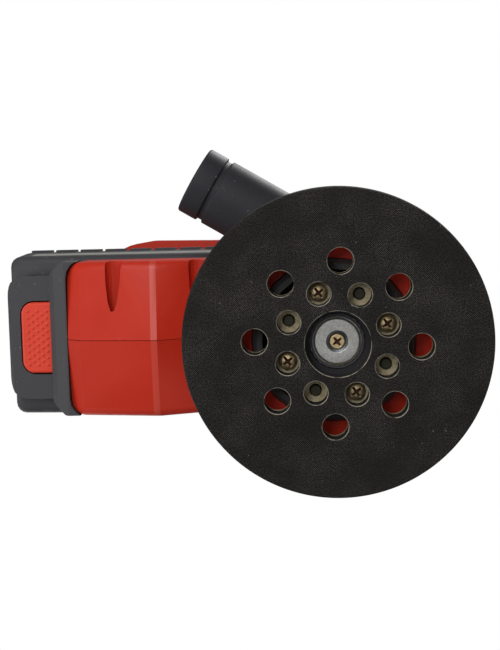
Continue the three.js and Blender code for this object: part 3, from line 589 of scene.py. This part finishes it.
latch_points = np.empty(len(frame["nodes"]["battery_latch_button"].data.vertices) * 3)
frame["nodes"]["battery_latch_button"].data.vertices.foreach_get("co", latch_points)
latch_points = latch_points.reshape(-1, 3)
along = latch_points @ np.array(pack_forward)
height = latch_points @ np.array(pack_up)
LATCH = {"rear": along.min(), "front": along.max(), "low": height.min(), "high": height.max(),
         "middle": (latch_points[:, 1].min() + latch_points[:, 1].max()) / 2,
         "half": (latch_points[:, 1].max() - latch_points[:, 1].min()) / 2}


def latch_grid(rows=90, columns=170):
    """The latch's thumb face with its skirt, as a height over a plan grid. The plan is a
    rectangle with two rounded rear corners; the height falls away at the rim in a quarter
    circle, and forty-odd round bumps in staggered columns are added to it as cosine domes."""
    u, v = np.meshgrid(np.linspace(0, 1, rows), np.linspace(-1, 1, columns), indexing="ij")
    length, half, corner = LATCH["front"] - LATCH["rear"], LATCH["half"], 5.4 * MM
    y = v * half
    over = np.clip(np.abs(y) - (half - corner), 0, corner)
    rear = corner - np.sqrt(np.maximum(corner ** 2 - over ** 2, 0))
    x = rear + (length - rear) * u
    edge = np.minimum(np.minimum(x - rear, half - np.abs(y)), length - x)
    rim = np.clip(edge / (1.2 * MM), 0, 1)
    bumps = np.zeros_like(x)
    for column in range(5):
        bx = (3.2 + 2.1 * column) * MM
        for by in np.arange(-5, 6) * 2.9 * MM + (1.45 * MM if column % 2 else 0):
            if abs(by) < 12.4 * MM:
                apart = np.hypot(x - bx, y - by) / (0.78 * MM)
                bumps = np.maximum(bumps, np.where(apart < 1, np.cos(apart * np.pi / 2) ** 0.8, 0))
    face = LATCH["low"] + 0.45 * MM + (1 - np.sqrt(1 - (1 - rim) ** 2)) * 1.2 * MM - bumps * 0.45 * MM
    return x + LATCH["rear"], y, face


def latch_points_grid():
    """Two grids in the sander's own axes: the thumb face, and the same outline at the top of
    the latch. Each height is the face's plus a share, none or all, of what is left to the top."""
    x, y, z = latch_grid()
    rim_rows = []
    for lift in (0.0, 1.0):
        level = z + (LATCH["high"] - z) * lift
        rim_rows.append((x, y, level))
    ax, up = np.array(pack_forward), np.array(pack_up)
    grids = []
    for gx, gy, gz in rim_rows:
        across = (gy + LATCH["middle"])[..., None] * np.array((0, 1.0, 0))
        grids.append(gx[..., None] * ax + gz[..., None] * up + across)
    return grids


def closed_slab(name, under, over, material):
    """Two grids of the same size as the under and upper skins of a slab, joined round the rim."""
    rows, columns = under.shape[:2]
    index = np.arange(rows * columns).reshape(rows, columns)
    skin = np.stack([index[:-1, :-1], index[1:, :-1], index[1:, 1:], index[:-1, 1:]], axis=-1).reshape(-1, 4)
    top = skin[:, ::-1] + rows * columns
    loop = np.concatenate([index[0, :-1], index[:-1, -1], index[-1, :0:-1], index[:0:-1, 0]])
    after = np.roll(loop, -1)
    wall = np.stack([loop, after, after + rows * columns, loop + rows * columns], axis=-1)
    data = bpy.data.meshes.new(name)
    points = np.concatenate([under.reshape(-1, 3), over.reshape(-1, 3)])
    data.from_pydata(points.tolist(), [], np.concatenate([skin, top, wall]).tolist())
    data.polygons.foreach_set("use_smooth", np.ones(len(data.polygons), dtype=bool))
    data.materials.append(material)
    piece = bpy.data.objects.new(name, data)
    bpy.context.collection.objects.link(piece)
    return piece


latch_red = plastic("latch_red", (0.60, 0.050, 0.026), 0.36, grain=2600.0, depth=0.5, dust=0.04, bump=0.03)
latch_under, latch_over = latch_points_grid()
latch = sharpen(closed_slab("latch_thumb_button", latch_under, latch_over, latch_red), 50)
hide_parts("battery_latch_button")
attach(latch, "latch")

# ---------------------------------------------------------------- pad body
# A black foam disc on a cream fibre plate. Eight dust holes and a large centre hole go
# right through; eight smaller wells give access to four screws and four locating pins.
DUST_HOLES = {"circle": 32.5 * MM, "radius": 5.2 * MM}
WELLS = {"circle": 21 * MM, "radius": 4.75 * MM}
CENTRE_HOLE = 13 * MM
first_screw = (Vector(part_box("pad_screw_1")[0]) + Vector(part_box("pad_screw_1")[1])) / 2 - pad_centre
PAD_TURN = math.atan2(first_screw.y, first_screw.x) + math.radians(22.5)
plate_low, plate_high = (Vector(corner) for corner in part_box("pad_backing_plate"))
foam_low, foam_high = (Vector(corner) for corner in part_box("pad_foam"))


def hole_places(circle, count, first_degrees):
    """Centres of evenly spaced holes on a circle round the pad's axis."""
    angle = math.radians(first_degrees) + PAD_TURN + 2 * np.pi * np.arange(count) / count
    return np.stack([pad_centre.x + circle * np.cos(angle), pad_centre.y + circle * np.sin(angle)], axis=1)


def rim_grid(centre, radius, profile, sides):
    """A wall round a circle: at each profile point the radius changes by its first number
    and the height is its second."""
    angle = np.linspace(0, 2 * np.pi, sides, endpoint=False)
    profile = np.asarray(profile)
    spread = radius + profile[:, 0, None]
    return np.stack([centre[0] + spread * np.cos(angle), centre[1] + spread * np.sin(angle),
                     np.repeat(profile[:, 1, None], sides, axis=1)], axis=-1)


def pierced_disc(name, radius, edge, holes, lip, low, high, material, cut_material=None):
    """A disc with round holes. The outer wall follows the edge profile and each hole's wall
    has a small lip at both faces; the flat faces between them are filled with triangles."""
    hole_wall = [(lip - lip * math.sin(a), low + lip - lip * math.cos(a)) for a in np.linspace(0, np.pi / 2, 4)]
    hole_wall += [(out, low + high - z) for out, z in reversed(hole_wall)]
    walls = [rim_grid((pad_centre.x, pad_centre.y), radius, edge, 180)]
    for (x, y), size in holes:
        walls.append(rim_grid((x, y), size, hole_wall, max(28, int(size / MM * 6))))
    mesh = bmesh.new()
    for level, row in ((low, 0), (high, -1)):
        loops = [[Vector(point) for point in wall[row]] for wall in walls]
        flat = [point for loop in loops for point in loop]
        corners = [mesh.verts.new(point) for point in flat]
        for a, b_, c in tessellate_polygon(loops):
            mesh.faces.new((corners[a], corners[b_], corners[c]))
    for wall in walls:
        rows, columns = wall.shape[:2]
        verts = [[mesh.verts.new(point) for point in line] for line in wall]
        for i in range(rows - 1):
            for k in range(columns):
                n = (k + 1) % columns
                quad = mesh.faces.new((verts[i][k], verts[i][n], verts[i + 1][n], verts[i + 1][k]))
                quad.material_index = int(cut_material is not None and wall is not walls[0])
    bmesh.ops.remove_doubles(mesh, verts=mesh.verts, dist=2e-7)
    bmesh.ops.recalc_face_normals(mesh, faces=mesh.faces)
    for face in mesh.faces:
        face.smooth = True
    for line in mesh.edges:
        line.smooth = line.is_manifold and line.calc_face_angle(0) < math.radians(32)
    data = bpy.data.meshes.new(name)
    mesh.to_mesh(data)
    mesh.free()
    for look in filter(None, (material, cut_material)):
        data.materials.append(look)
    piece = bpy.data.objects.new(name, data)
    bpy.context.collection.objects.link(piece)
    return piece


def hook_weave_group():
    """Hook-and-loop facing: a fine square knit of black yarn, its hooks worn down and
    whitened in places, with sanding dust and a little lint held in the pile."""
    group, given, result = value_group(
        "hook_weave", [("Colour", "Color", (0.03, 0.03, 0.03, 1)), ("Worn Colour", "Color", (0.1, 0.1, 0.1, 1)),
                       ("Dust Colour", "Color", (0.5, 0.45, 0.4, 1)), ("Stitches", "Float", 1250.0),
                       ("Roughness", "Float", 0.9)],
        [("Colour", "Color"), ("Roughness", "Float"), ("Height", "Float")])
    nodes, links = group.nodes, group.links
    place = nodes.new("ShaderNodeTexCoord").outputs["Object"]
    wander = nodes.new("ShaderNodeTexNoise")
    wander.inputs["Scale"].default_value = 60.0
    links.new(place, wander.inputs["Vector"])
    shift = nodes.new("ShaderNodeVectorMath")
    shift.operation = "MULTIPLY_ADD"
    links.new(wander.outputs["Color"], shift.inputs[0])
    shift.inputs[1].default_value = (0.0006, 0.0006, 0.0)
    links.new(place, shift.inputs[2])
    axes = nodes.new("ShaderNodeSeparateXYZ")
    links.new(shift.outputs["Vector"], axes.inputs["Vector"])
    waves = []
    for axis in ("X", "Y"):
        phase = arithmetic(nodes, links, "MULTIPLY", axes.outputs[axis], given.outputs["Stitches"])
        phase = arithmetic(nodes, links, "MULTIPLY", phase, 6.2832)
        waves.append(arithmetic(nodes, links, "SINE", phase))
    knit = arithmetic(nodes, links, "MULTIPLY", waves[0], waves[1])
    fuzz = noise(nodes, links, place, 1900.0, 2.0, 0.8)
    pile = arithmetic(nodes, links, "ADD", remap(nodes, links, knit, -1.0, 1.0, 0.0, 0.30), fuzz)
    worn = noise(nodes, links, place, 42.0, 5.0, 0.6)
    worn = remap(nodes, links, worn, 0.42, 0.72)
    tips = remap(nodes, links, pile, 0.62, 0.86)
    lit = arithmetic(nodes, links, "MULTIPLY", tips, remap(nodes, links, worn, 0.0, 1.0, 0.35, 1.0))
    base = blend_colour(nodes, links, lit, given.outputs["Colour"], given.outputs["Worn Colour"])
    lint = noise(nodes, links, place, 620.0, 2.0, 0.8)
    lint = remap(nodes, links, lint, 0.70, 0.73)
    patch = remap(nodes, links, noise(nodes, links, place, 30.0, 2.0), 0.56, 0.66)
    lint = arithmetic(nodes, links, "MULTIPLY", lint, remap(nodes, links, patch, 0.0, 1.0, 0.12, 1.0))
    links.new(blend_colour(nodes, links, lint, base, given.outputs["Dust Colour"]), result.inputs["Colour"])
    links.new(given.outputs["Roughness"], result.inputs["Roughness"])
    links.new(pile, result.inputs["Height"])
    return group


hook_facing = finish_with(
    "hook_facing", hook_weave_group(),
    {"Colour": (0.0075, 0.0070, 0.0065), "Worn Colour": (0.105, 0.096, 0.090), "Dust Colour": (0.42, 0.38, 0.34),
     "Stitches": 1150.0, "Roughness": 0.85}, 0.35, specular=0.1)
frayed_edge = finish_with(
    "frayed_edge", WORKED_METAL,
    {"Colour": (0.36, 0.33, 0.26), "Grime Colour": (0.02, 0.019, 0.016), "Grime": 1.0, "Mottle Size": 1500.0,
     "Roughness": 0.9}, 0.05, specular=0.1)
foam_black = plastic("foam_black", (0.016, 0.015, 0.0145), 0.85, grain=1500.0, depth=1.4, dust=0.25, bump=0.25)


def fibre_plate_group():
    """Cream fibre board: mottled, with darker wood dust caked in its hollows."""
    group, given, result = value_group(
        "fibre_plate", [("Colour", "Color", (0.5, 0.45, 0.3, 1)), ("Dust Colour", "Color", (0.3, 0.22, 0.12, 1)),
                        ("Roughness", "Float", 0.7)],
        [("Colour", "Color"), ("Roughness", "Float"), ("Height", "Float")])
    nodes, links = group.nodes, group.links
    place = nodes.new("ShaderNodeTexCoord").outputs["Object"]
    fleck = noise(nodes, links, place, 1400.0, 4.0, 0.7)
    cake = noise(nodes, links, place, 700.0, 4.0)
    links.new(blend_colour(nodes, links, remap(nodes, links, cake, 0.42, 0.66), given.outputs["Colour"],
                           given.outputs["Dust Colour"]), result.inputs["Colour"])
    links.new(given.outputs["Roughness"], result.inputs["Roughness"])
    links.new(fleck, result.inputs["Height"])
    return group


cream_fibre = finish_with("cream_fibre", fibre_plate_group(),
                          {"Colour": (0.60, 0.52, 0.33), "Dust Colour": (0.42, 0.33, 0.18),
                           "Roughness": 0.7}, 0.12)

through_holes = [(place, DUST_HOLES["radius"]) for place in hole_places(DUST_HOLES["circle"], 8, 0)]
through_holes.append(((pad_centre.x, pad_centre.y), CENTRE_HOLE))
wells = [(place, WELLS["radius"]) for place in hole_places(WELLS["circle"], 8, 22.5)]
facing_radius = (face_high.x - face_low.x) / 2
foam_radius = (foam_high.x - foam_low.x) / 2
facing = pierced_disc(
    "hook_facing_disc", facing_radius - 0.5 * MM,
    rounded([(-0.3 * MM, face_low.z), (0.1 * MM, face_low.z), (0.5 * MM, face_low.z + 0.6 * MM),
             (0.35 * MM, face_high.z)], 0.25 * MM),
    through_holes + wells, 0.18 * MM, face_low.z, face_high.z, hook_facing, frayed_edge)
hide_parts("pad_hook_facing")
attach(facing, "pad")
foam_bottom = face_high.z + 0.05 * MM
foam = pierced_disc(
    "pad_foam_body", foam_radius - 1.0 * MM,
    rounded([(0.55 * MM, foam_bottom), (0.8 * MM, foam_bottom + 1.5 * MM), (1.0 * MM, foam_low.z + 3.5 * MM),
             (0.6 * MM, foam_high.z - 1.6 * MM), (-1.4 * MM, foam_high.z)], 0.8 * MM),
    through_holes + wells, 0.2 * MM, foam_bottom, foam_high.z, foam_black)
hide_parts("pad_foam")
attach(foam, "pad")

dusty_plastic = plastic("dusty_nylon", (0.060, 0.058, 0.040), 0.7, grain=900.0, dust=0.5, specular=0.1)
carrier = eased_copy("pad_carrier", black_plastic, 0.15)
carrier.data.materials.append(dusty_plastic)
for face in carrier.data.polygons:
    face.material_index = int(face.center.z < plate_high.z)
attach(carrier, "pad")

screw_places = hole_places(WELLS["circle"], 4, -22.5)
pin_places = hole_places(WELLS["circle"], 4, 22.5)
fixings = [(place, 2.2 * MM) for place in screw_places] + [(place, 2.5 * MM) for place in pin_places]
plate = pierced_disc(
    "fibre_backing_plate", plate_high.x - pad_centre.x - 0.3 * MM,
    rounded([(0, plate_low.z), (0.3 * MM, plate_low.z + 0.4 * MM), (0.3 * MM, plate_high.z - 0.4 * MM),
             (0, plate_high.z)], 0.2 * MM),
    through_holes[:-1] + [((pad_centre.x, pad_centre.y), CENTRE_HOLE + 0.8 * MM)] + fixings, 0.15 * MM,
    plate_low.z, plate_high.z, cream_fibre)
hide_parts("pad_backing_plate")
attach(plate, "pad")

# ---------------------------------------------------------------- pad fixings
# Four pan-head cross screws with a yellow passivate hold the pad to its carrier. A zinc
# washer and a countersunk screw on the eccentric pin keep the pad's bearing in place.
gold = metal("yellow_passivate", (0.74, 0.57, 0.32), 0.40, grime=0.35, mottle=1500.0, bump=0.03)
# A dark brown for the deep part of each cross recess: painted shade, where the recess falls dark.
painted_shade_recess = plastic("painted_shade_recess", (0.060, 0.022, 0.010), 0.6, grain=2000.0, dust=0.0)
zinc = metal("dull_zinc", (0.54, 0.535, 0.515), 0.40, grime=0.10, mottle=1300.0, bump=0.025)
UP = Vector((0, 0, 1))


def cross_recess(point_angle, distance, reach, width, depth):
    """How deep a cross recess cuts at a distance from a screw's axis: full depth on two
    tapered arms at right angles, shallowing from the middle to each arm's end."""
    x, y = distance * np.cos(point_angle), distance * np.sin(point_angle)
    along_arm, across_arm = np.maximum(np.abs(x), np.abs(y)), np.minimum(np.abs(x), np.abs(y))
    taper = np.clip(1 - along_arm / reach, 0, 1)
    inside = np.clip((width * (0.55 + 0.45 * taper) - across_arm) / (0.12 * MM), 0, 1)
    return inside * np.clip(taper * 3, 0, 1) * depth * (0.45 + 0.55 * taper)


def screw_head(name, centre, head_z, radius, crown, skirt, shank, tip_z, reach, material, flat=False):
    """A screw seen from its head: rings out from the axis over a crowned or flat face, less
    the cross recess, then down the head's side and along the shank to its tip."""
    rings, sides = 44, 120
    s = np.linspace(0.0001, 1, rings)
    angle = np.linspace(0, 2 * np.pi, sides, endpoint=False)
    distance = s[:, None] * radius * np.ones(sides)
    bulge = crown * s ** 2.4 if not flat else crown * np.clip((s - 0.93) / 0.07, 0, 1)
    sunk = cross_recess(angle[None, :] + PAD_TURN + 0.6, distance, reach, 0.62 * MM, 1.3 * MM)
    z = head_z + bulge[:, None] + sunk
    side = rounded([(radius, head_z + crown), (radius, head_z + crown + skirt),
                    (shank, head_z + crown + skirt + (0.1 * MM if not flat else 1.4 * MM)),
                    (shank, tip_z)], 0.2 * MM)
    distance = np.concatenate([distance, np.repeat(side[1:, 0, None], sides, axis=1)])
    z = np.concatenate([z, np.repeat(side[1:, 1, None], sides, axis=1)])
    grid = np.stack([centre[0] + distance * np.cos(angle), centre[1] + distance * np.sin(angle), z], axis=-1)
    head = grid_object(name, [grid], material, caps=("first", "last"))
    head.data.materials.append(painted_shade_recess)
    # Faces more than 0.35 mm down in the cross recess take the painted shade.
    for face in head.data.polygons[:(rings - 1) * sides]:
        face.material_index = int(sunk[face.index // sides, face.index % sides] > 0.35 * MM)
    return sharpen(head, 50)


for k, (x, y) in enumerate(screw_places):
    low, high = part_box(f"pad_screw_{k + 1}")
    place = ((low[0] + high[0]) / 2, (low[1] + high[1]) / 2)
    screw = screw_head(f"pad_screw_head_{k + 1}", place, low[2], 3.5 * MM, 0.75 * MM, 1.0 * MM,
                       1.55 * MM, high[2], 2.6 * MM, gold)
    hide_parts(f"pad_screw_{k + 1}")
    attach(screw, "pad")

low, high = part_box("centre_screw")
centre_screw = screw_head("centre_screw_head", (pad_centre.x, pad_centre.y), low[2], 3.0 * MM,
                          0.25 * MM, 0.15 * MM, 1.9 * MM, high[2], 2.2 * MM, gold, flat=True)
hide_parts("centre_screw")
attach(centre_screw, "rotor")

low, high = (Vector(corner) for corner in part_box("retaining_washer"))
washer_radius = (high.x - low.x) / 2
washer_profile = rounded(
    [(2.3 * MM, high.z), (2.3 * MM, low.z + 1.1 * MM), (4.5 * MM, low.z + 0.05 * MM),
     (washer_radius - 0.8 * MM, low.z), (washer_radius, low.z + 0.5 * MM),
     (washer_radius, low.z + 1.1 * MM), (6 * MM, low.z + 1.1 * MM), (6 * MM, high.z),
     (2.3 * MM, high.z)], 0.2 * MM, 5)
washer_grid = turned(washer_profile[:-1], Vector((pad_centre.x, pad_centre.y, 0)), UP, 120)
washer = grid_object("washer_ring", [washer_grid], zinc, closed=(True, True))
# The countersink and bore round the centre screw take the dark steel finish: painted shade where that recess falls
# dark.
washer.data.materials.append(dark_steel)
for face in washer.data.polygons:
    from_axis = math.hypot(face.center.x - pad_centre.x, face.center.y - pad_centre.y)
    face.material_index = int(from_axis < 4.4 * MM)
sharpen(washer, 40)
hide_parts("retaining_washer")
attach(washer, "rotor")
